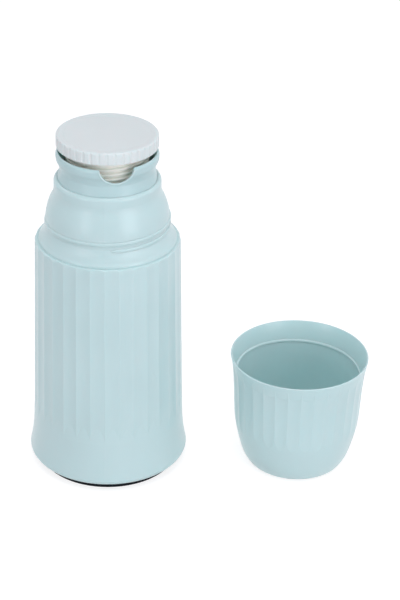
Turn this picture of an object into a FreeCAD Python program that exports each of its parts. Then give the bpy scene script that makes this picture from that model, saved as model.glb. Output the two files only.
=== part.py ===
import FreeCAD
import Part
import math
import os

# Glass-lined vacuum flask with a screw stopper, and its drinking cup standing beside it.
# Millimetres. The flask's axis is Z, its foot stands on z = 0 and the pouring notch
# faces -Y. Outlines are drawn as (radius, height) and turned round an axis.

# ---- driving dimensions -------------------------------------------------------------

# Fluted casing
FLUTES = 32
RIDGE_TURN = 0.7            # degrees from -Y towards +X of one ridge
CASING_R_LOW = 49.5         # radius over the ridges at COLUMN_FOOT
CASING_R_HIGH = 46.3        # radius over the ridges at the ledge
COLUMN_FOOT = 16.0
LEDGE = 161.0               # top of the flutes, where the closed cup's rim lands
FLUTE_DEPTH = 0.62
SHELL_FOOT = 5.2            # lower edge of the casing
BASE_BORE_R = 46.6          # bore that the base cap screws into
BASE_STOP = 19.0            # top of that bore
BAND_R = 33.7               # neck band at the top of the casing
BAND_TOP = 203.3
BAND_BORE_R = 31.3
LEDGE_CORNER_R = 43.9       # where the shoulder rises from the ledge
DOME_FOOT_R = 39.2          # wall that the cup's thread stands on
DOME_FOOT = 171.2
DOME_FOOT_TOP = 177.0

# Pouring collar
COLLAR_TOP = 221.3
COLLAR_BORE_R = 26.6        # over the roots of the female thread
CHANNEL_FOOT = 206.0        # the bore widens above it into a drip channel
WALL = 1.9                  # of the collar beside the channel
LIP_R = 32.2
WAIST_R = 29.9
SPIGOT_R = 31.2
COLLAR_FOOT = 191.4
FLANGE_T = 2.4
FLANGE_R = 24.0             # hole that the stopper's nose passes
NOTCH_TURN = 14.2           # degrees from -Y towards +X
NOTCH_R = 11.0
NOTCH_CENTRE = 223.2
SPOUT_AXIS = 14.0           # distance of the spout's own upright axis from the flask's
SPOUT_SIDE = [(16.5, 203.0), (16.8, 208.0), (17.5, 212.0), (19.1, 215.4), (19.4, 218.4)]

# Double-walled glass liner
GLASS_T = 1.5
OUTER_GLASS_R = 41.5
INNER_GLASS_R = 36.0
GLASS_FLOOR = 15.0
GLASS_BELLY = 35.0          # top of the rounded bottom
CORNER_R = 14.0             # of the outer bottle, where its wall turns into its bottom
OUTER_NECK_R = 22.4
INNER_NECK_R = 19.9
LIP_FOOT = 186.5
GLASS_TOP = 189.0
PAD_R = 5.0
PAD_HEIGHT = 62.0
PADS = 3
TIP_R = 3.2
TIP_END = 7.5

# Base
FOOT_R = 45.9
FLOOR_TOP = 3.0
CAP_SPIGOT_R = 46.4
CAP_WALL = 2.4
GRIPS = 3
GRIP_DEPTH = 1.6

# Stopper
STOPPER_R = 31.9
STOPPER_TOP = 232.7
SKIRT_FOOT = 224.9
SKIRT_INNER_R = 29.0
CROWN_T = 2.4
RIBS = 40
RIB_TURN = 2.62             # degrees from -Y towards +X of one groove
GROOVE_R = 1.5
GROOVE_DEPTH = 0.5
PLUG_R = 24.6               # core of the male thread
PLUG_BORE_R = 22.4
PLUG_SHOULDER = 194.0
NOSE_R = 17.3
NOSE_END = 182.0
SEAL_R = 23.4
SEAL_BORE_R = 19.6

# Cup
CUP_X = 125.5
CUP_Y = -2.0
CUP_RIM = 79.4
CUP_RIM_R = 45.1
CUP_BASE_R = 27.2
CUP_FLUTE_TOP = 75.0
CUP_FLUTE_DEPTH = 0.55
CUP_RIDGE_TURN = 0.1        # degrees from -Y towards +X of one ridge
CUP_SIDE = [(32.2, 2.4), (34.8, 6.8), (37.7, 15.6), (40.75, 30.0), (41.9, 45.0),
            (42.65, 60.0), (44.4, 75.0)]
CUP_INSIDE = [(30.0, 4.6), (33.0, 8.8), (35.9, 16.8), (39.0, 31.0), (40.1, 46.0), (40.4, 64.8)]

CLEAR = 0.1                 # gap between round faces of pieces that fit together


# ---- helpers ------------------------------------------------------------------------

def turned(radius, height, degrees):
    """Point at a radius and height, turned from -Y towards +X."""
    angle = math.radians(degrees)
    return FreeCAD.Vector(radius * math.sin(angle), -radius * math.cos(angle), height)


def line(start, end):
    return Part.LineSegment(flat(start), flat(end)).toShape()


def arc(start, through, end):
    return Part.Arc(flat(start), flat(through), flat(end)).toShape()


def curve(points):
    spline = Part.BSplineCurve()
    spline.interpolate([flat(point) for point in points])
    return spline.toShape()


def flat(point):
    """(radius, height) as a point of the XZ plane."""
    return FreeCAD.Vector(point[0], 0, point[1])


def revolve(edges, sweep=360.0, start=0.0):
    """Closed outline of (radius, height) edges, turned about Z from -Y towards +X."""
    face = Part.Face(Part.Wire(edges))
    face.rotate(FreeCAD.Vector(), FreeCAD.Vector(0, 0, 1), start - 90.0)
    return face.revolve(FreeCAD.Vector(), FreeCAD.Vector(0, 0, 1), sweep)


def turned_solid(points, sweep=360.0, start=0.0):
    """Solid of revolution with straight sides between its (radius, height) points."""
    ends = points[1:] + points[:1]
    return revolve([line(a, b) for a, b in zip(points, ends)], sweep, start)


def ring(inner, outer, bottom, top):
    corners = [(inner, bottom), (outer, bottom), (outer, top), (inner, top)]
    return turned_solid(corners)


def fluted_wire(radius, depth, height, turn):
    """Ring of hollow flutes that meet in sharp ridges on a circle of the radius."""
    step = 360.0 / FLUTES
    edges = []
    for index in range(FLUTES):
        ridge = turn + index * step
        edges.append(Part.Arc(
            turned(radius, height, ridge),
            turned(radius - depth, height, ridge + step / 2),
            turned(radius, height, ridge + step),
        ).toShape())
    return Part.Wire(edges)


def fluted_column(ridges, depth, turn):
    """Column through fluted rings at the (radius, height) ridge points given."""
    rings = [fluted_wire(radius, depth, height, turn) for radius, height in ridges]
    return Part.makeLoft(rings, True, len(rings) == 2)


def bottle(radius, neck_r, shoulder_z, shoulder_a, neck_b, top, inset):
    """Solid inside a bottle's surface, moved in by inset and cut off at the height top.

    The bottom is a shallow crown that runs into the wall round a corner. The shoulder
    is two arcs that run into each other, one of radius shoulder_a out of the wall and
    one of radius neck_b into the neck. Both bottles have the outer one's arc centres.
    """
    wall_r = radius - inset
    depth = OUTER_GLASS_R - wall_r
    corner_x = OUTER_GLASS_R - CORNER_R
    drop = GLASS_BELLY - GLASS_FLOOR
    crown_r = (corner_x ** 2 + drop ** 2 - CORNER_R ** 2) / (2 * (drop - CORNER_R))
    crown_z = GLASS_FLOOR + crown_r
    slope = math.atan2(crown_z - GLASS_BELLY, corner_x)
    across = neck_r + neck_b - (radius - shoulder_a)
    rise = math.sqrt((shoulder_a + neck_b) ** 2 - across ** 2)
    neck_z = shoulder_z + rise
    lean = math.atan2(rise, across)

    def corner(angle):
        reach = CORNER_R - depth
        return (corner_x + reach * math.cos(angle), GLASS_BELLY - reach * math.sin(angle))

    def crown(angle):
        reach = crown_r - depth
        return (reach * math.cos(angle), crown_z - reach * math.sin(angle))

    def shoulder(angle):
        reach = shoulder_a - inset
        return (radius - shoulder_a + reach * math.cos(angle),
                shoulder_z + reach * math.sin(angle))

    def neck(angle):
        reach = neck_b + inset
        return (neck_r + neck_b - reach * math.cos(angle),
                neck_z - reach * math.sin(angle))

    middle = (slope + math.pi / 2) / 2
    floor = (0, GLASS_FLOOR + depth)
    return revolve([
        arc(corner(0), corner(slope / 2), corner(slope)),
        arc(crown(slope), crown(middle), floor),
        line(floor, (0, top)),
        line((0, top), (neck_r - inset, top)),
        line((neck_r - inset, top), neck(0)),
        arc(neck(0), neck(lean / 2), neck(lean)),
        arc(shoulder(lean), shoulder(lean / 2), shoulder(0)),
        line(shoulder(0), corner(0)),
    ])


def outer_bottle(inset, top):
    return bottle(OUTER_GLASS_R, OUTER_NECK_R, 148.0, 26.0, 10.0, top, inset)


def inner_bottle(inset, top):
    return bottle(INNER_GLASS_R, INNER_NECK_R, 146.0, 21.5, 11.5, top, inset)


# ---- flask casing -------------------------------------------------------------------

def foot_flare():
    """Smooth foot that swells out below the flutes and closes them in scallops."""
    return revolve([
        line((0, SHELL_FOOT), (47.4, SHELL_FOOT)),
        arc((47.4, SHELL_FOOT), (51.05, 6.35), (52.15, 8.9)),
        arc((52.15, 8.9), (50.1, 21.3), (49.2, 35.0)),
        line((49.2, 35.0), (47.9, 50.0)),
        line((47.9, 50.0), (0, 50.0)),
        line((0, 50.0), (0, SHELL_FOOT)),
    ])


def shoulder_and_dome():
    """Rounded shoulder above the ledge, the dome over it and the neck band."""
    return revolve([
        line((0, 155.0), (LEDGE_CORNER_R, 155.0)),
        line((LEDGE_CORNER_R, 155.0), (LEDGE_CORNER_R, LEDGE + 0.4)),
        arc((LEDGE_CORNER_R, LEDGE + 0.4), (43.6, 162.5), (42.6, 163.8)),
        arc((42.6, 163.8), (40.6, 166.9), (DOME_FOOT_R, DOME_FOOT)),
        line((DOME_FOOT_R, DOME_FOOT), (DOME_FOOT_R, DOME_FOOT_TOP)),
        arc((DOME_FOOT_R, DOME_FOOT_TOP), (38.1, 183.6), (35.2, 191.0)),
        arc((35.2, 191.0), (34.15, 193.7), (BAND_R, 196.4)),
        line((BAND_R, 196.4), (BAND_R, 201.0)),
        arc((BAND_R, 201.0), (33.3, 202.4), (32.2, BAND_TOP)),
        line((32.2, BAND_TOP), (0, BAND_TOP)),
        line((0, BAND_TOP), (0, 155.0)),
    ])


def casing_cavity():
    """Inside of the casing: the base bore, a drafted wall and the dome's underside."""
    return revolve([
        line((0, 0), (BASE_BORE_R, 0)),
        line((BASE_BORE_R, 0), (BASE_BORE_R, BASE_STOP)),
        line((BASE_BORE_R, BASE_STOP), (46.2, BASE_STOP)),
        line((46.2, BASE_STOP), (43.6, 157.5)),
        arc((43.6, 157.5), (41.9, 161.4), (39.1, 165.4)),
        arc((39.1, 165.4), (37.9, 168.6), (37.3, 172.5)),
        line((37.3, 172.5), (37.3, DOME_FOOT_TOP)),
        arc((37.3, DOME_FOOT_TOP), (36.0, 183.0), (33.3, 189.6)),
        arc((33.3, 189.6), (32.5, 191.6), (BAND_BORE_R, 193.4)),
        line((BAND_BORE_R, 193.4), (BAND_BORE_R, BAND_TOP + 1)),
        line((BAND_BORE_R, BAND_TOP + 1), (0, BAND_TOP + 1)),
        line((0, BAND_TOP + 1), (0, 0)),
    ])


def ledge_rounding():
    """What rounding the ledge's edge takes off the tops of the flutes."""
    valley_r = CASING_R_HIGH - FLUTE_DEPTH
    inner = valley_r - 0.5
    outer = valley_r + 0.7
    foot = LEDGE - 1.7
    return revolve([
        arc((inner, LEDGE), (valley_r + 0.3, LEDGE - 0.5), (outer, foot)),
        line((outer, foot), (outer + 2, foot)),
        line((outer + 2, foot), (outer + 2, LEDGE + 1)),
        line((outer + 2, LEDGE + 1), (inner, LEDGE + 1)),
        line((inner, LEDGE + 1), (inner, LEDGE)),
    ])


def outer_casing():
    ridges = [(CASING_R_LOW, COLUMN_FOOT), (CASING_R_HIGH, LEDGE)]
    column = fluted_column(ridges, FLUTE_DEPTH, RIDGE_TURN).cut(ledge_rounding())
    body = column.fuse([foot_flare(), shoulder_and_dome()])
    return body.cut(casing_cavity())


# ---- pouring collar -----------------------------------------------------------------

def collar_outside():
    """Spigot in the neck band, then the waist and the rolled lip."""
    return revolve([
        line((0, COLLAR_FOOT), (SPIGOT_R, COLLAR_FOOT)),
        line((SPIGOT_R, COLLAR_FOOT), (SPIGOT_R, BAND_TOP)),
        arc((SPIGOT_R, BAND_TOP), (30.5, 206.2), (WAIST_R, 209.8)),
        arc((WAIST_R, 209.8), (30.5, 212.9), (31.7, 215.4)),
        arc((31.7, 215.4), (32.1, 216.9), (LIP_R, 218.5)),
        arc((LIP_R, 218.5), (31.9, 220.3), (31.0, COLLAR_TOP)),
        line((31.0, COLLAR_TOP), (0, COLLAR_TOP)),
        line((0, COLLAR_TOP), (0, COLLAR_FOOT)),
    ])


def collar_inside():
    """Hole over the gasket, threaded bore, and the drip channel inside the thin lip."""
    flange_top = COLLAR_FOOT + FLANGE_T
    above = COLLAR_TOP + 1
    return revolve([
        line((0, COLLAR_FOOT - 1), (FLANGE_R, COLLAR_FOOT - 1)),
        line((FLANGE_R, COLLAR_FOOT - 1), (FLANGE_R, flange_top)),
        line((FLANGE_R, flange_top), (COLLAR_BORE_R, flange_top)),
        line((COLLAR_BORE_R, flange_top), (COLLAR_BORE_R, CHANNEL_FOOT)),
        line((COLLAR_BORE_R, CHANNEL_FOOT), (27.8, 210.8)),
        arc((27.8, 210.8), (29.0, 214.4), (LIP_R - WALL, 217.6)),
        line((LIP_R - WALL, 217.6), (30.2, 220.2)),
        arc((30.2, 220.2), (30.4, 221.0), (31.0, COLLAR_TOP)),
        line((31.0, COLLAR_TOP), (31.0, above)),
        line((31.0, above), (0, above)),
        line((0, above), (0, COLLAR_FOOT - 1)),
    ])


def spout_horn(inset):
    """Upright horn that flares towards the lip, on the spout's own axis."""
    side = [(radius - inset, height) for radius, height in SPOUT_SIDE]
    low = side[0][1]
    high = side[-1][1]
    horn = revolve([
        line((0, low), side[0]),
        curve(side),
        line(side[-1], (0, high)),
        line((0, high), (0, low)),
    ])
    horn.translate(turned(SPOUT_AXIS, 0.0, NOTCH_TURN))
    return horn


def pouring_collar():
    """The spout bulges out of the collar below the notch that is cut down into it."""
    notch = Part.makeCylinder(NOTCH_R, 2 * LIP_R, turned(SPOUT_AXIS, NOTCH_CENTRE, NOTCH_TURN),
                              turned(1.0, 0.0, NOTCH_TURN))
    outside = collar_outside().fuse(spout_horn(0.0))
    channel = spout_horn(WALL).cut(ring(0, 2 * LIP_R, COLLAR_FOOT, CHANNEL_FOOT + WALL))
    return outside.cut([collar_inside(), channel, notch]).removeSplitter()


# ---- glass liner --------------------------------------------------------------------

def liner_outer_bottle():
    return outer_bottle(0.0, LIP_FOOT).cut(outer_bottle(GLASS_T, LIP_FOOT + 1))


def liner_inner_bottle():
    """Inner bottle, with the fused lip that closes the vacuum gap at the mouth."""
    bore_r = INNER_NECK_R - GLASS_T
    middle = (OUTER_NECK_R + bore_r) / 2
    bend = GLASS_TOP - 0.8
    lip = revolve([
        line((bore_r, LIP_FOOT - 1), (INNER_NECK_R, LIP_FOOT - 1)),
        line((INNER_NECK_R, LIP_FOOT - 1), (INNER_NECK_R, LIP_FOOT)),
        line((INNER_NECK_R, LIP_FOOT), (OUTER_NECK_R, LIP_FOOT)),
        arc((OUTER_NECK_R, LIP_FOOT), (OUTER_NECK_R - 0.5, bend), (middle + 0.6, GLASS_TOP)),
        line((middle + 0.6, GLASS_TOP), (middle - 0.6, GLASS_TOP)),
        arc((middle - 0.6, GLASS_TOP), (bore_r + 0.5, bend), (bore_r, LIP_FOOT)),
        line((bore_r, LIP_FOOT), (bore_r, LIP_FOOT - 1)),
    ])
    wall = inner_bottle(0.0, LIP_FOOT).cut(inner_bottle(GLASS_T, LIP_FOOT + 1))
    return wall.fuse(lip).removeSplitter()


def liner_spacer_pads():
    """Felt pads that keep the two bottles apart, pressed between their walls."""
    gap = ring(INNER_GLASS_R, OUTER_GLASS_R - GLASS_T, PAD_HEIGHT - 10, PAD_HEIGHT + 10)
    pads = []
    for index in range(PADS):
        turn = index * 360.0 / PADS
        plug = Part.makeCylinder(PAD_R, 20.0, turned(30.0, PAD_HEIGHT, turn),
                                 turned(1.0, 0.0, turn))
        pads.append(plug.common(gap))
    return Part.makeCompound(pads)


def liner_exhaust_tip():
    """Sealed stub of the tube that the gap was pumped out through."""
    stub = revolve([
        line((0, TIP_END), (0, GLASS_FLOOR + 2)),
        line((0, GLASS_FLOOR + 2), (TIP_R, GLASS_FLOOR + 2)),
        line((TIP_R, GLASS_FLOOR + 2), (TIP_R, GLASS_FLOOR - 1.5)),
        arc((TIP_R, GLASS_FLOOR - 1.5), (2.5, 10.0), (0.5, TIP_END)),
        line((0.5, TIP_END), (0, TIP_END)),
    ])
    return stub.cut(outer_bottle(0.0, LIP_FOOT))


def mouth_gasket():
    """Rubber ring on the glass lip, with a skirt that centres the neck."""
    inner_r = 18.9
    outer_r = 25.6
    skirt_r = OUTER_NECK_R + CLEAR
    skirt_foot = GLASS_TOP - 6.0
    return turned_solid([
        (inner_r, GLASS_TOP), (skirt_r, GLASS_TOP), (skirt_r, skirt_foot),
        (outer_r - 1.0, skirt_foot), (outer_r, skirt_foot + 2.0), (outer_r, COLLAR_FOOT),
        (inner_r, COLLAR_FOOT),
    ])


# ---- base ---------------------------------------------------------------------------

def base_cushion():
    """Rubber cup under the glass, hollow below the tip and cored from underneath."""
    block = ring(9.0, 37.0, FLOOR_TOP, 24.0)
    core = ring(16.0, 29.0, FLOOR_TOP - 1, 9.5)
    return block.cut([core, outer_bottle(0.0, LIP_FOOT)])


def finger_grip(turn):
    """Crescent pocket in the underside, for turning the base cap."""
    sweep = 46.0
    pocket = [(29.0, -1.0), (39.0, -1.0), (37.5, GRIP_DEPTH), (30.5, GRIP_DEPTH)]
    return turned_solid(pocket, sweep, turn - sweep / 2)


def base_cap():
    """Screw-in base: the dark foot, a threaded wall and an open inside."""
    inner_r = CAP_SPIGOT_R - CAP_WALL
    top = BASE_STOP - 0.4
    body = revolve([
        line((0, 0), (44.9, 0)),
        arc((44.9, 0), (45.6, 0.3), (FOOT_R, 1.0)),
        line((FOOT_R, 1.0), (FOOT_R, SHELL_FOOT + 0.6)),
        line((FOOT_R, SHELL_FOOT + 0.6), (CAP_SPIGOT_R, SHELL_FOOT + 2.0)),
        line((CAP_SPIGOT_R, SHELL_FOOT + 2.0), (CAP_SPIGOT_R, top)),
        line((CAP_SPIGOT_R, top), (inner_r, top)),
        line((inner_r, top), (inner_r, FLOOR_TOP + 3.0)),
        arc((inner_r, FLOOR_TOP + 3.0), (43.1, FLOOR_TOP + 0.9), (41.0, FLOOR_TOP)),
        line((41.0, FLOOR_TOP), (0, FLOOR_TOP)),
        line((0, FLOOR_TOP), (0, 0)),
    ])
    grips = [finger_grip(90.0 + index * 360.0 / GRIPS) for index in range(GRIPS)]
    return body.cut(grips)


# ---- stopper ------------------------------------------------------------------------

def stopper_cap():
    """White turning cap: dished crown, ribbed skirt and a ring that holds the plug."""
    crown_foot = STOPPER_TOP - CROWN_T
    dish = STOPPER_TOP - 0.4
    skirt_inner = [(SKIRT_INNER_R - 1.0, crown_foot), (SKIRT_INNER_R, SKIRT_FOOT)]
    body = revolve([
        line((0, crown_foot), skirt_inner[0]),
        line(skirt_inner[0], skirt_inner[1]),
        line(skirt_inner[1], (STOPPER_R - 0.5, SKIRT_FOOT)),
        arc((STOPPER_R - 0.5, SKIRT_FOOT), (STOPPER_R - 0.15, SKIRT_FOOT + 0.15),
            (STOPPER_R, SKIRT_FOOT + 0.5)),
        line((STOPPER_R, SKIRT_FOOT + 0.5), (STOPPER_R, STOPPER_TOP - 1.3)),
        arc((STOPPER_R, STOPPER_TOP - 1.3), (STOPPER_R - 0.4, dish), (STOPPER_R - 1.3, STOPPER_TOP)),
        line((STOPPER_R - 1.3, STOPPER_TOP), (STOPPER_R - 2.3, STOPPER_TOP)),
        arc((STOPPER_R - 2.3, STOPPER_TOP), (STOPPER_R - 3.3, dish + 0.25), (STOPPER_R - 4.7, dish)),
        line((STOPPER_R - 4.7, dish), (0, dish)),
        line((0, dish), (0, crown_foot)),
    ])
    grooves = []
    groove_r = STOPPER_R + GROOVE_R - GROOVE_DEPTH
    for index in range(RIBS):
        turn = RIB_TURN + index * 360.0 / RIBS
        grooves.append(Part.makeCylinder(GROOVE_R, 20.0, turned(groove_r, SKIRT_FOOT - 1, turn)))
    return body.cut(grooves)


def stopper_plug():
    """Hollow plug: threaded wall, shoulder for the seal and a nose into the glass."""
    rim = STOPPER_TOP - CROWN_T
    bore_r = SEAL_BORE_R - CLEAR
    nose_top = PLUG_SHOULDER + 2.8
    nose_floor = NOSE_END + 2.0
    return revolve([
        line((PLUG_BORE_R, rim), (PLUG_R, rim)),
        line((PLUG_R, rim), (PLUG_R, nose_top)),
        line((PLUG_R, nose_top), (SEAL_R, PLUG_SHOULDER)),
        line((SEAL_R, PLUG_SHOULDER), (bore_r, PLUG_SHOULDER)),
        line((bore_r, PLUG_SHOULDER), (bore_r, COLLAR_FOOT + 0.7)),
        line((bore_r, COLLAR_FOOT + 0.7), (NOSE_R, COLLAR_FOOT - 0.8)),
        line((NOSE_R, COLLAR_FOOT - 0.8), (NOSE_R - 0.6, nose_floor)),
        arc((NOSE_R - 0.6, nose_floor), (16.1, NOSE_END + 0.6), (14.7, NOSE_END)),
        line((14.7, NOSE_END), (0, NOSE_END)),
        line((0, NOSE_END), (0, nose_floor)),
        line((0, nose_floor), (14.8, nose_floor)),
        line((14.8, nose_floor), (15.2, nose_top)),
        line((15.2, nose_top), (PLUG_BORE_R, nose_top + 3.0)),
        line((PLUG_BORE_R, nose_top + 3.0), (PLUG_BORE_R, rim)),
    ])


def stopper_foam():
    """Insulating foam that fills the plug."""
    floor = NOSE_END + 2.0
    step = PLUG_SHOULDER + 3.0
    top = STOPPER_TOP - CROWN_T - 2.2
    foam_r = PLUG_BORE_R - 0.3
    return turned_solid([
        (0, floor), (14.6, floor), (15.0, step), (foam_r, step + 3.2), (foam_r, top), (0, top),
    ])


def stopper_seal():
    """Silicone ring round the nose, which lands on the gasket over the glass lip."""
    return turned_solid([
        (SEAL_BORE_R, COLLAR_FOOT), (22.6, COLLAR_FOOT), (SEAL_R, COLLAR_FOOT + 0.8),
        (SEAL_R, PLUG_SHOULDER), (SEAL_BORE_R, PLUG_SHOULDER),
    ])


# ---- cup ----------------------------------------------------------------------------

def cup_bowl():
    """Fluted bowl: the smooth round bottom runs out of the flutes as it turns in."""
    smooth = revolve([
        line((0, 0), (CUP_BASE_R, 0)),
        arc((CUP_BASE_R, 0), (30.0, 0.8), CUP_SIDE[0]),
        curve(CUP_SIDE),
        line(CUP_SIDE[-1], (0, CUP_FLUTE_TOP)),
        line((0, CUP_FLUTE_TOP), (0, 0)),
    ])
    ridges = [(40.3, 0.0), (40.6, 15.0), (41.15, 30.0), (41.95, 45.0), (42.7, 60.0), (44.45, 75.0)]
    return smooth.common(fluted_column(ridges, CUP_FLUTE_DEPTH, CUP_RIDGE_TURN))


def cup_rim():
    """Plain flared rim that the flutes run up into."""
    foot = CUP_FLUTE_TOP - 5.0
    lip = CUP_RIM - 0.5
    return revolve([
        line((0, foot), (43.3, foot)),
        arc((43.3, foot), (44.25, 74.6), (CUP_RIM_R, lip)),
        arc((CUP_RIM_R, lip), (CUP_RIM_R - 0.5, CUP_RIM), (CUP_RIM_R - 1, lip)),
        line((CUP_RIM_R - 1, lip), (0, lip)),
        line((0, lip), (0, foot)),
    ])


def cup_cavity():
    """Inside of the cup, opening out above the height of its thread."""
    floor = 2.4
    lip = CUP_RIM - 0.5
    lip_r = CUP_RIM_R - 1
    return revolve([
        line((0, floor), (26.8, floor)),
        arc((26.8, floor), (28.8, 3.0), CUP_INSIDE[0]),
        curve(CUP_INSIDE),
        arc(CUP_INSIDE[-1], (42.0, 72.4), (lip_r, lip)),
        line((lip_r, lip), (lip_r, CUP_RIM + 1)),
        line((lip_r, CUP_RIM + 1), (0, CUP_RIM + 1)),
        line((0, CUP_RIM + 1), (0, floor)),
    ])


def drinking_cup():
    recess_r = CUP_BASE_R - 1.5
    recess = turned_solid([(0, -1), (recess_r, -1), (recess_r - 1, 0.8), (0, 0.8)])
    cup = cup_bowl().fuse(cup_rim()).cut([cup_cavity(), recess])
    cup.translate(FreeCAD.Vector(CUP_X, CUP_Y, 0))
    return cup


PIECES = {
    "outer_casing": outer_casing,
    "pouring_collar": pouring_collar,
    "mouth_gasket": mouth_gasket,
    "liner_inner_bottle": liner_inner_bottle,
    "liner_outer_bottle": liner_outer_bottle,
    "liner_spacer_pads": liner_spacer_pads,
    "liner_exhaust_tip": liner_exhaust_tip,
    "base_cushion": base_cushion,
    "base_cap": base_cap,
    "stopper_cap": stopper_cap,
    "stopper_plug": stopper_plug,
    "stopper_foam": stopper_foam,
    "stopper_seal": stopper_seal,
    "drinking_cup": drinking_cup,
}

os.makedirs("parts", exist_ok=True)
for node, make in PIECES.items():
    shape = make()
    shape.exportStep("parts/" + node + ".step")
    print(node, len(shape.Solids), shape.isValid(), round(shape.Volume, 1))
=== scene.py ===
"""Looks of the glass-lined flask and its drinking cup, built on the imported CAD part."""
import math

import bmesh
import bpy
from mathutils import Matrix, Vector
from mathutils.bvhtree import BVHTree


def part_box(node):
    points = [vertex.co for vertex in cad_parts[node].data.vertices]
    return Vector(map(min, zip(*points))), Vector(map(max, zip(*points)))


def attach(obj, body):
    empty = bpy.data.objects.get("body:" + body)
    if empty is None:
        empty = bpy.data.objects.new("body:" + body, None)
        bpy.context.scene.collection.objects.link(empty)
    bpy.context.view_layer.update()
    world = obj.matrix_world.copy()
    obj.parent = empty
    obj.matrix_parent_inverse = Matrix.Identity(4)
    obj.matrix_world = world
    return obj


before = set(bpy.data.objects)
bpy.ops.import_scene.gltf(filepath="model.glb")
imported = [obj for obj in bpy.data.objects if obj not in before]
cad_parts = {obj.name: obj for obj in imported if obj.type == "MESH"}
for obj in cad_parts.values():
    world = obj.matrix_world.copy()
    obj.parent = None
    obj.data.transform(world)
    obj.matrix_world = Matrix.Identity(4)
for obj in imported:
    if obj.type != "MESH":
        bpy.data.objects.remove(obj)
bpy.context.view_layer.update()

MM = 0.001

# ---- camera (mm, degrees)

CAMERA_AT = Vector((59.40, -1017.80, 678.81))
CAMERA_PITCH = 28.908       # below the horizon
CAMERA_ROLL = 1.385
LENS = 108.0                # on a 36 mm sensor, along the frame's long side

# ---- stopper's thread (mm): two starts, so it rises 6.4 in a turn

STOPPER_LEAD = 6.4
STOPPER_STARTS = 2
PLUG_R = 24.6               # core that the male thread stands on
MALE_CREST_R = 26.1
COLLAR_BORE_R = 26.6        # bore that the female thread stands in
FEMALE_CREST_R = 25.3
MALE_FOOT = -23.5           # from the collar's rim
FEMALE_FOOT = -25.1         # half a pitch lower, so that the ridges lie between each other
FEMALE_TOP = -15.8
UNDER_SKIRT = 2.4           # how far the male thread runs up behind the cap's skirt
STOPPER_RUN_OUT = 25.0      # degrees over which each end of a ridge fades

# ---- ridges of all the threads

RIDGE_STEP = 4.0            # degrees between sections
END_HEIGHT = 0.06           # shares of the full height and width that an end fades to
END_WIDTH = 0.3

# ---- cup's thread (mm, degrees from -Y towards +X): one start

CUP_LEAD = 4.7
NECK_R = 39.2               # dome's foot, which the ridge stands on
NECK_CREST_R = 39.95
NECK_FOOT = 170.4           # height of the ridge's middle at NECK_START
NECK_START = 4.6
NECK_TURNS = 1.5
CUP_WALL_R = 41.0
CUP_CREST_R = 39.75
CUP_MIDDLE = 65.9           # height of the ridge's middle at the back of the cup
CUP_TURNS = 1.0
NECK_RUN_OUT = 6.0
CUP_RUN_OUT = 12.0

# ---- rolled edge of the pouring notch (mm, degrees)

NOTCH_TURN = 14.2           # from -Y towards +X
NOTCH_R = 11.0
NOTCH_CENTRE = 1.9          # above the collar's rim
NOTCH_SPAN = 76.0           # of the bead, each way from the notch's lowest point
NOTCH_BEAD_R = 0.6
BEAD_STEPS = 48
BEAD_SIDES = 12

# ---- light (degrees from -Y towards +X, degrees above the floor, metres, watts)

DAYLIGHT = "FAF7FF"
AIR = 0.54
FLOOR_GLOW = 0.80
FLOOR_SIZE = 8.0            # metres
FLOOR_GAP = 0.05            # mm under the feet
LAMP_DISTANCE = 1.4
LAMPS_LOOK_AT = Vector((60, 0, 110))    # mm, between flask and cup
SOFTBOXES = [
    ("softbox_right", 42.0, 12.0, (0.7, 1.0), 6.4),
    ("softbox_left", -41.5, 12.0, (0.35, 0.6), 2.2),
    ("softbox_above", 0.0, 66.0, (0.40, 0.40), 4.3),
    ("softbox_behind_left", -120.0, 40.0, (0.4, 0.25), 1.5),
    ("softbox_behind_right", 120.0, 40.0, (0.4, 0.25), 1.8),
]

# ---- shading sockets of the Mix node when it mixes colours

FIRST, SECOND, MIXED = 6, 7, 2


# ---- helpers


def linear(code):
    """Linear RGBA of an sRGB hex colour."""
    channels = [int(code[i:i + 2], 16) / 255 for i in (0, 2, 4)]
    return [c / 12.92 if c <= 0.04045 else ((c + 0.055) / 1.055) ** 2.4 for c in channels] + [1.0]


def add(tree, kind, inputs=None, **settings):
    """Adds a shader node, sets its properties, and fills or links its inputs."""
    made = tree.nodes.new("ShaderNode" + kind)
    for name, value in settings.items():
        setattr(made, name, value)
    for name, value in (inputs or {}).items():
        if isinstance(value, bpy.types.NodeSocket):
            tree.links.new(value, made.inputs[name])
        else:
            made.inputs[name].default_value = value
    return made


def new_material(name):
    """Material with an empty node tree, and that tree."""
    material = bpy.data.materials.new(name)
    material.use_nodes = True
    material.node_tree.nodes.clear()
    return material, material.node_tree


def per(size_mm):
    """Texture scale that repeats about once in this many millimetres."""
    return 1.0 / (size_mm * MM)


# ---- materials


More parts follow.
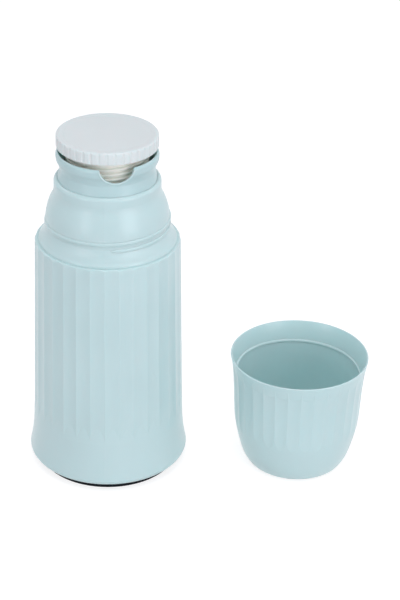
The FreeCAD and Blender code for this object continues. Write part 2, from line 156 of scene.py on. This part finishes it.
def moulded_polypropylene(name, dark, light, roughness, peel_mm, peel_depth_mm, depth_mm,
                          gloss=0.5):
    """Injection-moulded polypropylene, satin from a polished tool.

    The eye gets a wide soft highlight with the faint waves of orange peel in it, a
    colour that drifts a little with the melt's flow, and thin walls that let some
    light through, so the inside of the cup glows in the plastic's own colour.
    """
    material, tree = new_material(name)
    place = add(tree, "TexCoord").outputs["Object"]
    flow = add(tree, "TexNoise", {"Vector": place, "Scale": per(45.0), "Detail": 1.0})
    peel = add(tree, "TexNoise", {"Vector": place, "Scale": per(peel_mm), "Detail": 1.0})
    colour = add(tree, "Mix", {"Factor": flow.outputs["Fac"], FIRST: linear(dark),
                               SECOND: linear(light)}, data_type="RGBA")
    sheen = add(tree, "MapRange", {"Value": flow.outputs["Fac"], "From Min": 0.3, "From Max": 0.7,
                                   "To Min": roughness - 0.02, "To Max": roughness + 0.02})
    waves = add(tree, "Bump", {"Height": peel.outputs["Fac"], "Distance": peel_depth_mm * MM})
    shader = add(tree, "BsdfPrincipled", {
        "Base Color": colour.outputs[MIXED],
        "Roughness": sheen.outputs["Result"],
        "Normal": waves.outputs["Normal"],
        "IOR": 1.49,
        "Specular IOR Level": gloss,
        "Subsurface Weight": 0.5,
        "Subsurface Radius": (0.7, 1.0, 1.0),
        "Subsurface Scale": depth_mm * MM,
    })
    add(tree, "OutputMaterial", {"Surface": shader.outputs["BSDF"]})
    return material


def moulded_rubber(name, dark, light):
    """Compression-moulded rubber: matt, with the blasted tool's grain, drawn coarser
    than the real 0.1 mm so that it shows."""
    material, tree = new_material(name)
    place = add(tree, "TexCoord").outputs["Object"]
    grain = add(tree, "TexNoise", {"Vector": place, "Scale": per(0.5), "Detail": 2.0})
    bloom = add(tree, "TexNoise", {"Vector": place, "Scale": per(6.0), "Detail": 2.0})
    colour = add(tree, "Mix", {"Factor": bloom.outputs["Fac"], FIRST: linear(dark),
                               SECOND: linear(light)}, data_type="RGBA")
    matt = add(tree, "MapRange", {"Value": grain.outputs["Fac"], "From Min": 0.3, "From Max": 0.7,
                                  "To Min": 0.55, "To Max": 0.75})
    pits = add(tree, "Bump", {"Height": grain.outputs["Fac"], "Distance": 0.03 * MM})
    shader = add(tree, "BsdfPrincipled", {
        "Base Color": colour.outputs[MIXED],
        "Roughness": matt.outputs["Result"],
        "Normal": pits.outputs["Normal"],
        "IOR": 1.52,
    })
    add(tree, "OutputMaterial", {"Surface": shader.outputs["BSDF"]})
    return material


def silvered_glass(name):
    """Blown glass silvered on its vacuum side: a mirror with the blown wall's long
    waves and the silver's faint streaks."""
    material, tree = new_material(name)
    place = add(tree, "TexCoord").outputs["Object"]
    wall = add(tree, "TexNoise", {"Vector": place, "Scale": per(30.0), "Detail": 1.0})
    streaks = add(tree, "TexNoise", {"Vector": place, "Scale": per(3.0), "Detail": 3.0})
    colour = add(tree, "Mix", {"Factor": streaks.outputs["Fac"], FIRST: linear("CFD2D5"),
                               SECOND: linear("EAECEE")}, data_type="RGBA")
    haze = add(tree, "MapRange", {"Value": streaks.outputs["Fac"], "From Min": 0.3,
                                  "From Max": 0.7, "To Min": 0.04, "To Max": 0.12})
    waves = add(tree, "Bump", {"Height": wall.outputs["Fac"], "Distance": 0.25 * MM})
    shader = add(tree, "BsdfPrincipled", {
        "Base Color": colour.outputs[MIXED],
        "Metallic": 1.0,
        "Roughness": haze.outputs["Result"],
        "Normal": waves.outputs["Normal"],
    })
    add(tree, "OutputMaterial", {"Surface": shader.outputs["BSDF"]})
    return material


def drawn_glass(name):
    """Clear glass tube, melted shut where the vacuum was drawn: bright, with a ripple."""
    material, tree = new_material(name)
    place = add(tree, "TexCoord").outputs["Object"]
    ripple = add(tree, "TexNoise", {"Vector": place, "Scale": per(1.5), "Detail": 1.0})
    colour = add(tree, "Mix", {"Factor": ripple.outputs["Fac"], FIRST: linear("E4F0EC"),
                               SECOND: linear("F6FBF9")}, data_type="RGBA")
    waves = add(tree, "Bump", {"Height": ripple.outputs["Fac"], "Distance": 0.05 * MM})
    shader = add(tree, "BsdfPrincipled", {
        "Base Color": colour.outputs[MIXED],
        "Transmission Weight": 1.0,
        "Roughness": 0.03,
        "Normal": waves.outputs["Normal"],
        "IOR": 1.50,
    })
    add(tree, "OutputMaterial", {"Surface": shader.outputs["BSDF"]})
    return material


def pressed_felt(name):
    """Pressed wool felt: matt and mottled, with a pale fuzz where it is seen along."""
    material, tree = new_material(name)
    place = add(tree, "TexCoord").outputs["Object"]
    fibres = add(tree, "TexNoise", {"Vector": place, "Scale": per(0.6), "Detail": 6.0})
    colour = add(tree, "Mix", {"Factor": fibres.outputs["Fac"], FIRST: linear("857A6B"),
                               SECOND: linear("C0B6A5")}, data_type="RGBA")
    fuzz = add(tree, "Bump", {"Height": fibres.outputs["Fac"], "Distance": 0.15 * MM})
    shader = add(tree, "BsdfPrincipled", {
        "Base Color": colour.outputs[MIXED],
        "Roughness": 0.95,
        "Sheen Weight": 0.3,
        "Normal": fuzz.outputs["Normal"],
    })
    add(tree, "OutputMaterial", {"Surface": shader.outputs["BSDF"]})
    return material


def rigid_foam(name):
    """Rigid polyurethane foam, cut to fit: cream, with open cells a millimetre across."""
    material, tree = new_material(name)
    place = add(tree, "TexCoord").outputs["Object"]
    cells = add(tree, "TexVoronoi", {"Vector": place, "Scale": per(1.0)})
    colour = add(tree, "Mix", {"Factor": cells.outputs["Distance"], FIRST: linear("D3C8A9"),
                               SECOND: linear("F4EDD8")}, data_type="RGBA")
    pits = add(tree, "Bump", {"Height": cells.outputs["Distance"], "Distance": 0.3 * MM})
    shader = add(tree, "BsdfPrincipled", {
        "Base Color": colour.outputs[MIXED],
        "Roughness": 0.9,
        "Normal": pits.outputs["Normal"],
    })
    add(tree, "OutputMaterial", {"Surface": shader.outputs["BSDF"]})
    return material


# The casing and cup are one mint. On their thin ridges the light can't wander as far. The collar is
# moulded apart, and its mint is painted a shade darker. This painted shade stands in for the shade under
# the stopper's cap and takes the highlight off the collar's flare.
mint = moulded_polypropylene("moulded_mint_polypropylene", "C0DBDA", "C9E3E2", 0.30, 5.0, 0.02, 2.5)
thin_mint = moulded_polypropylene("moulded_mint_thin_polypropylene", "C0DBDA", "C9E3E2", 0.30, 5.0,
                                  0.02, 0.4)
# Darker mint of the collar and its thread: painted shade, not the plastic's own colour.
collar_mint_painted_shade = moulded_polypropylene("moulded_collar_painted_shade_polypropylene", "B6D3D3", "BFDBDB", 0.34, 5.0,
                                    0.02, 2.0)
white = moulded_polypropylene("moulded_white_polypropylene", "D8E2E0", "DFE9E7", 0.42, 1.5, 0.01, 1.5)
natural = moulded_polypropylene("moulded_natural_polypropylene", "F1FAE9", "F8FEF2", 0.38, 3.0, 0.02, 3.0)
# The foot's fine grain holds little gloss, so its edge stays nearly black beside the pale paper.
navy = moulded_polypropylene("moulded_navy_polypropylene", "050B12", "0A121C", 0.50, 1.5, 0.02, 0.1,
                             gloss=0.12)

FINISHES = {
    "outer_casing": mint,
    "pouring_collar": collar_mint_painted_shade,
    "drinking_cup": mint,
    "stopper_cap": white,
    "stopper_plug": natural,
    "base_cap": navy,
    "mouth_gasket": moulded_rubber("moulded_white_rubber", "D2D1C8", "E6E5DE"),
    "stopper_seal": moulded_rubber("moulded_silicone", "DADAD4", "ECECE8"),
    "base_cushion": moulded_rubber("moulded_black_rubber", "151518", "242428"),
    "liner_inner_bottle": silvered_glass("silvered_inner_glass"),
    "liner_outer_bottle": silvered_glass("silvered_outer_glass"),
    "liner_exhaust_tip": drawn_glass("drawn_clear_glass"),
    "liner_spacer_pads": pressed_felt("pressed_wool_felt"),
    "stopper_foam": rigid_foam("rigid_polyurethane_foam"),
}
for node, finish in FINISHES.items():
    for material_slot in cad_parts[node].material_slots:
        material_slot.material = finish


# ---- threads


def ridge_outline(foot, crest, half_width, crest_half_width):
    """Rounded section of a ridge: (share of the height, distance along the axis)."""
    steps = 8
    outline = [(foot, -half_width)]
    for index in range(steps + 1):
        angle = math.pi * index / steps
        flat_part = crest_half_width * (2 * index / steps - 1)
        outline.append((crest * math.sin(angle) ** 0.6, flat_part - (half_width - crest_half_width)
                        * math.cos(angle)))
    outline.append((foot, half_width))
    return outline


def join_sections(mesh, sections):
    """Skins a row of closed sections and caps both ends."""
    sides = len(sections[0])
    for near, far in zip(sections, sections[1:]):
        for a in range(sides):
            b = (a + 1) % sides
            face = mesh.faces.new((near[a], near[b], far[b], far[a]))
            face.smooth = True
    mesh.faces.new(sections[0][::-1])
    mesh.faces.new(sections[-1])


def thread_ridge(mesh, root_r, crest_r, foot_z, turn, turns, lead, outline, run_out, centre):
    """One start of a thread: a ridge wound up a right-hand helix, closed at both ends."""
    count = round(turns * 360.0 / RIDGE_STEP)
    sections = []
    for index in range(count + 1):
        swept = index * RIDGE_STEP
        angle = math.radians(turn + swept - 90.0)
        height = foot_z + swept / 360.0 * lead
        from_end = min(swept, count * RIDGE_STEP - swept)
        share = min(1.0, max(END_HEIGHT, from_end / run_out))
        width = max(share, END_WIDTH)
        section = []
        for proud, along in outline:
            reach = proud * share if proud > 0 else proud
            r = root_r + (crest_r - root_r) * reach
            point = (r * math.cos(angle), r * math.sin(angle), height + along * width)
            section.append(mesh.verts.new((Vector(point) + centre) * MM))
        sections.append(section)
    join_sections(mesh, sections)


def as_piece(mesh, name, body, material):
    """Makes the mesh a piece of the object that rides on a body."""
    bmesh.ops.recalc_face_normals(mesh, faces=mesh.faces)
    data = bpy.data.meshes.new(name)
    mesh.to_mesh(data)
    mesh.free()
    data.materials.append(material)
    piece = bpy.data.objects.new(name, data)
    bpy.context.scene.collection.objects.link(piece)
    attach(piece, body)


def thread(name, body, material, starts, ridge, centre=Vector()):
    """All the starts of one thread as a piece that rides on its body."""
    mesh = bmesh.new()
    for start in range(starts):
        place = dict(ridge)
        place["turn"] = ridge["turn"] + start * 360.0 / starts
        thread_ridge(mesh, centre=centre, **place)
    as_piece(mesh, name, body, material)


def pouring_lip():
    """Rolled edge that the tea leaves over: a bead along the notch's cut in the collar."""
    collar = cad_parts["pouring_collar"].data
    skin = BVHTree.FromPolygons([corner.co for corner in collar.vertices],
                                [face.vertices for face in collar.polygons])
    turn = math.radians(NOTCH_TURN)
    outward = Vector((math.sin(turn), -math.cos(turn), 0.0))
    across = Vector((math.cos(turn), math.sin(turn), 0.0))
    mesh = bmesh.new()
    sections = []
    for index in range(BEAD_STEPS + 1):
        angle = math.radians(NOTCH_SPAN * (2 * index / BEAD_STEPS - 1))
        spoke = across * math.sin(angle) - Vector((0, 0, math.cos(angle)))
        beside = Vector((0, 0, rim + NOTCH_CENTRE)) + spoke * (NOTCH_R + NOTCH_BEAD_R)
        met = skin.ray_cast((beside + outward * 2 * NECK_R) * MM, -outward)[0] / MM
        middle = met - outward * NOTCH_BEAD_R / 3
        section = []
        for side in range(BEAD_SIDES):
            around = 2 * math.pi * side / BEAD_SIDES
            reach = spoke * math.cos(around) + outward * math.sin(around)
            section.append(mesh.verts.new((middle + reach * NOTCH_BEAD_R) * MM))
        sections.append(section)
    join_sections(mesh, sections)
    as_piece(mesh, "pouring_lip", "flask", thin_mint)


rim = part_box("pouring_collar")[1].z / MM
skirt_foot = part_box("stopper_cap")[0].z / MM
cup_low, cup_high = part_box("drinking_cup")
cup_axis = Vector(((cup_low.x + cup_high.x) / 2, (cup_low.y + cup_high.y) / 2, 0)) / MM
steep = ridge_outline(-0.15, 1.0, 0.95, 0.3)
rounded = ridge_outline(-0.6, 1.0, 1.25, 0.3)

thread("stopper_thread", "stopper", natural, STOPPER_STARTS, {
    "root_r": PLUG_R, "crest_r": MALE_CREST_R, "foot_z": rim + MALE_FOOT, "turn": 90.0,
    "turns": (skirt_foot + UNDER_SKIRT - rim - MALE_FOOT) / STOPPER_LEAD, "lead": STOPPER_LEAD,
    "outline": steep, "run_out": STOPPER_RUN_OUT})
# The collar's thread carries the collar's darker mint, which is painted shade.
thread("collar_thread", "flask", collar_mint_painted_shade, STOPPER_STARTS, {
    "root_r": COLLAR_BORE_R, "crest_r": FEMALE_CREST_R, "foot_z": rim + FEMALE_FOOT, "turn": 90.0,
    "turns": (FEMALE_TOP - FEMALE_FOOT) / STOPPER_LEAD, "lead": STOPPER_LEAD,
    "outline": steep, "run_out": STOPPER_RUN_OUT})
thread("neck_thread", "flask", thin_mint, 1, {
    "root_r": NECK_R, "crest_r": NECK_CREST_R, "foot_z": NECK_FOOT, "turn": NECK_START,
    "turns": NECK_TURNS, "lead": CUP_LEAD, "outline": rounded, "run_out": NECK_RUN_OUT})
thread("cup_thread", "cup", thin_mint, 1, {
    "root_r": CUP_WALL_R, "crest_r": CUP_CREST_R, "foot_z": CUP_MIDDLE - CUP_LEAD / 2, "turn": 0.0,
    "turns": CUP_TURNS, "lead": CUP_LEAD, "outline": rounded, "run_out": CUP_RUN_OUT}, cup_axis)
pouring_lip()


# ---- floor, light and camera


def pale_floor():
    """Seamless white studio paper that keeps the soft shadows under the pieces.

    It is lit like a pale matt sheet, and where it is seen it glows up to white.
    """
    material, tree = new_material("white_studio_paper")
    rays = add(tree, "LightPath").outputs
    seen = add(tree, "Math", {0: rays["Is Camera Ray"], 1: rays["Is Glossy Ray"]},
               operation="MAXIMUM")
    seen = add(tree, "Math", {0: seen.outputs[0], 1: rays["Is Transmission Ray"]},
               operation="MAXIMUM")
    lit = add(tree, "BsdfDiffuse", {"Color": linear("E6E6E6")})
    shadow = add(tree, "BsdfDiffuse", {"Color": linear("A0A0A0")})
    glow = add(tree, "Emission", {"Color": linear("FFFFFF"), "Strength": FLOOR_GLOW})
    shown = add(tree, "AddShader", {0: shadow.outputs[0], 1: glow.outputs[0]})
    mixed = add(tree, "MixShader", {0: seen.outputs[0], 1: lit.outputs[0], 2: shown.outputs[0]})
    add(tree, "OutputMaterial", {"Surface": mixed.outputs[0]})
    data = bpy.data.meshes.new("studio_floor")
    half = FLOOR_SIZE / 2
    corners = [(-half, -half, 0), (half, -half, 0), (half, half, 0), (-half, half, 0)]
    data.from_pydata(corners, [], [(0, 1, 2, 3)])
    data.materials.append(material)
    floor = bpy.data.objects.new("studio_floor", data)
    floor.location.z = -FLOOR_GAP * MM
    bpy.context.scene.collection.objects.link(floor)


def studio_air():
    """White surroundings: full white where they are seen, softer as light."""
    world = bpy.data.worlds.new("studio")
    world.use_nodes = True
    tree = world.node_tree
    tree.nodes.clear()
    rays = add(tree, "LightPath").outputs
    shown = add(tree, "Background", {"Color": linear("FFFFFF"), "Strength": 1.0})
    light = add(tree, "Background", {"Color": linear(DAYLIGHT), "Strength": AIR})
    seen = add(tree, "Math", {0: rays["Is Camera Ray"], 1: rays["Is Glossy Ray"]},
               operation="MAXIMUM")
    seen = add(tree, "Math", {0: seen.outputs[0], 1: rays["Is Transmission Ray"]},
               operation="MAXIMUM")
    mixed = add(tree, "MixShader", {0: seen.outputs[0], 1: light.outputs[0],
                                    2: shown.outputs[0]})
    add(tree, "OutputWorld", {"Surface": mixed.outputs[0]})
    bpy.context.scene.world = world


def softbox(name, azimuth, elevation, size, watts):
    """Rectangular lamp that looks at the object's middle from an angle in degrees."""
    around = math.radians(azimuth)
    above = math.radians(elevation)
    away = Vector((math.sin(around) * math.cos(above), -math.cos(around) * math.cos(above),
                   math.sin(above)))
    lamp = bpy.data.lights.new(name, "AREA")
    lamp.shape = "RECTANGLE"
    lamp.size, lamp.size_y = size
    lamp.energy = watts
    lamp.color = linear(DAYLIGHT)[:3]
    stand = bpy.data.objects.new(name, lamp)
    stand.location = LAMPS_LOOK_AT * MM + away * LAMP_DISTANCE
    stand.rotation_mode = "QUATERNION"
    stand.rotation_quaternion = (-away).to_track_quat("-Z", "Y")
    bpy.context.scene.collection.objects.link(stand)


def camera():
    """Camera that looks slightly down at the flask and the cup."""
    lens = bpy.data.cameras.new("camera")
    lens.lens = LENS
    lens.sensor_width = 36.0
    lens.clip_end = 20.0
    eye = bpy.data.objects.new("camera", lens)
    tilt = Matrix.Rotation(math.radians(90.0 - CAMERA_PITCH), 4, "X")
    roll = Matrix.Rotation(math.radians(CAMERA_ROLL), 4, "Z")
    eye.matrix_world = Matrix.Translation(CAMERA_AT * MM) @ tilt @ roll
    bpy.context.scene.collection.objects.link(eye)
    bpy.context.scene.camera = eye


pale_floor()
studio_air()
for lamp in SOFTBOXES:
    softbox(*lamp)
camera()
bpy.context.scene.view_settings.view_transform = "Standard"
